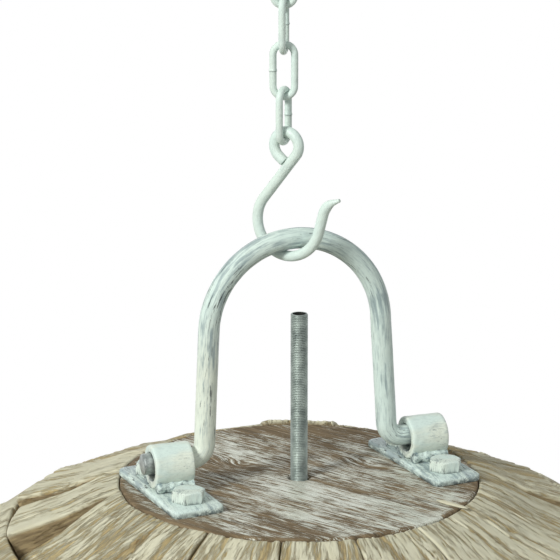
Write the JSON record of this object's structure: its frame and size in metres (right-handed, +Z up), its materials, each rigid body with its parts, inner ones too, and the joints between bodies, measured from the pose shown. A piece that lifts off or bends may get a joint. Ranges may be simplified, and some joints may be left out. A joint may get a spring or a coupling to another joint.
{
  "type": "chandelier",
  "caption": "dome pendant lamp of whitewashed boards round a wooden disc, on a hinged steel bail, open hook and welded chain, with a threaded lamp tube and a lamp cluster",
  "frame": {"origin": "middle of the ceiling plate's top face, on the chain line", "axes": "+Z up into the ceiling, X along the bail's hinge axis"},
  "size_m": [0.7978, 0.7978, 0.7204],
  "materials": {
    "painted_steel": "chipped pale green-white paint over steel",
    "zinc_steel": "dull galvanised steel",
    "dark_wood": "brushed brown wood with a white wash",
    "pale_wood": "rough boards with a worn white wash",
    "white_ply": "white painted plywood",
    "black_steel": "black painted steel",
    "white_steel": "white enamelled sheet steel",
    "holder_plastic": "white thermoplastic",
    "brass": "bright brass",
    "opal_glass": "opal white glass"
  },
  "bodies": {
    "ceiling": {"ceiling_plate": "painted_steel", "ceiling_eye": "painted_steel", "eye_nut": "painted_steel"},
    "link_1": {"chain_link_1": "painted_steel"},
    "link_2": {"chain_link_2": "painted_steel"},
    "link_3": {"chain_link_3": "painted_steel"},
    "link_4": {"chain_link_4": "painted_steel"},
    "hook": {"hanging_hook": "painted_steel"},
    "bail": {"bail": "painted_steel"},
    "shade": {"lug_plate_left": "painted_steel", "lug_plate_right": "painted_steel", "lug_tube_left": "painted_steel", "lug_tube_right": "painted_steel", "lug_weld_left": "painted_steel", "lug_weld_right": "painted_steel", "lug_bolts": "painted_steel", "bolt_washers": "zinc_steel", "bolt_nuts": "zinc_steel", "top_disc": "dark_wood", "stave_course_1": "pale_wood", "stave_course_2": "pale_wood", "stave_course_3": "pale_wood", "stave_course_4": "pale_wood", "stave_course_5": "pale_wood", "stave_course_6": "pale_wood", "stave_course_7": "pale_wood", "liner_upper": "white_ply", "liner_lower": "white_ply", "frame_plate": "black_steel", "frame_ribs": "black_steel", "frame_hoop": "black_steel", "rim_hoop": "black_steel", "threaded_tube": "zinc_steel", "tube_nuts": "zinc_steel", "tube_washers": "zinc_steel", "cluster_cover": "white_steel", "cluster_body": "white_steel", "cluster_screws": "zinc_steel", "terminal_block": "holder_plastic", "holder_nipples": "zinc_steel", "nipple_nuts": "zinc_steel", "lampholder_1": "holder_plastic", "lampholder_2": "holder_plastic", "lampholder_3": "holder_plastic", "bulb_cap_1": "brass", "bulb_cap_2": "brass", "bulb_cap_3": "brass", "bulb_glass_1": "opal_glass", "bulb_glass_2": "opal_glass", "bulb_glass_3": "opal_glass"}
  },
  "joints": [
    {"name": "link_1_swing", "type": "hinge", "parent": "ceiling", "child": "link_1", "pos_m": [0, 0, -0.036], "axis": [0.342, 0.9397, 0], "range_deg": [-50, 50]},
    {"name": "link_2_swing", "type": "hinge", "parent": "link_1", "child": "link_2", "pos_m": [0, 0, -0.0602], "axis": [0.9397, -0.342, 0], "range_deg": [-50, 50]},
    {"name": "link_3_swing", "type": "hinge", "parent": "link_2", "child": "link_3", "pos_m": [0, 0, -0.0854], "axis": [-0.5, -0.866, 0], "range_deg": [-50, 50]},
    {"name": "link_4_swing", "type": "hinge", "parent": "link_3", "child": "link_4", "pos_m": [0, 0, -0.1106], "axis": [-0.9063, 0.4226, 0], "range_deg": [-50, 50]},
    {"name": "hook_swing", "type": "hinge", "parent": "link_4", "child": "hook", "pos_m": [0, 0, -0.1358], "axis": [0.7071, 0.7071, 0], "range_deg": [-45, 45]},
    {"name": "bail_swing", "type": "hinge", "parent": "hook", "child": "bail", "pos_m": [0.00145, -0.00185, -0.19095], "axis": [-1, 0, 0], "range_deg": [-45, 45]},
    {"name": "shade_tilt", "type": "hinge", "parent": "bail", "child": "shade", "pos_m": [0.0087, -0.00185, -0.31353], "axis": [1, 0, 0], "range_deg": [-70, 70]}
  ]
}
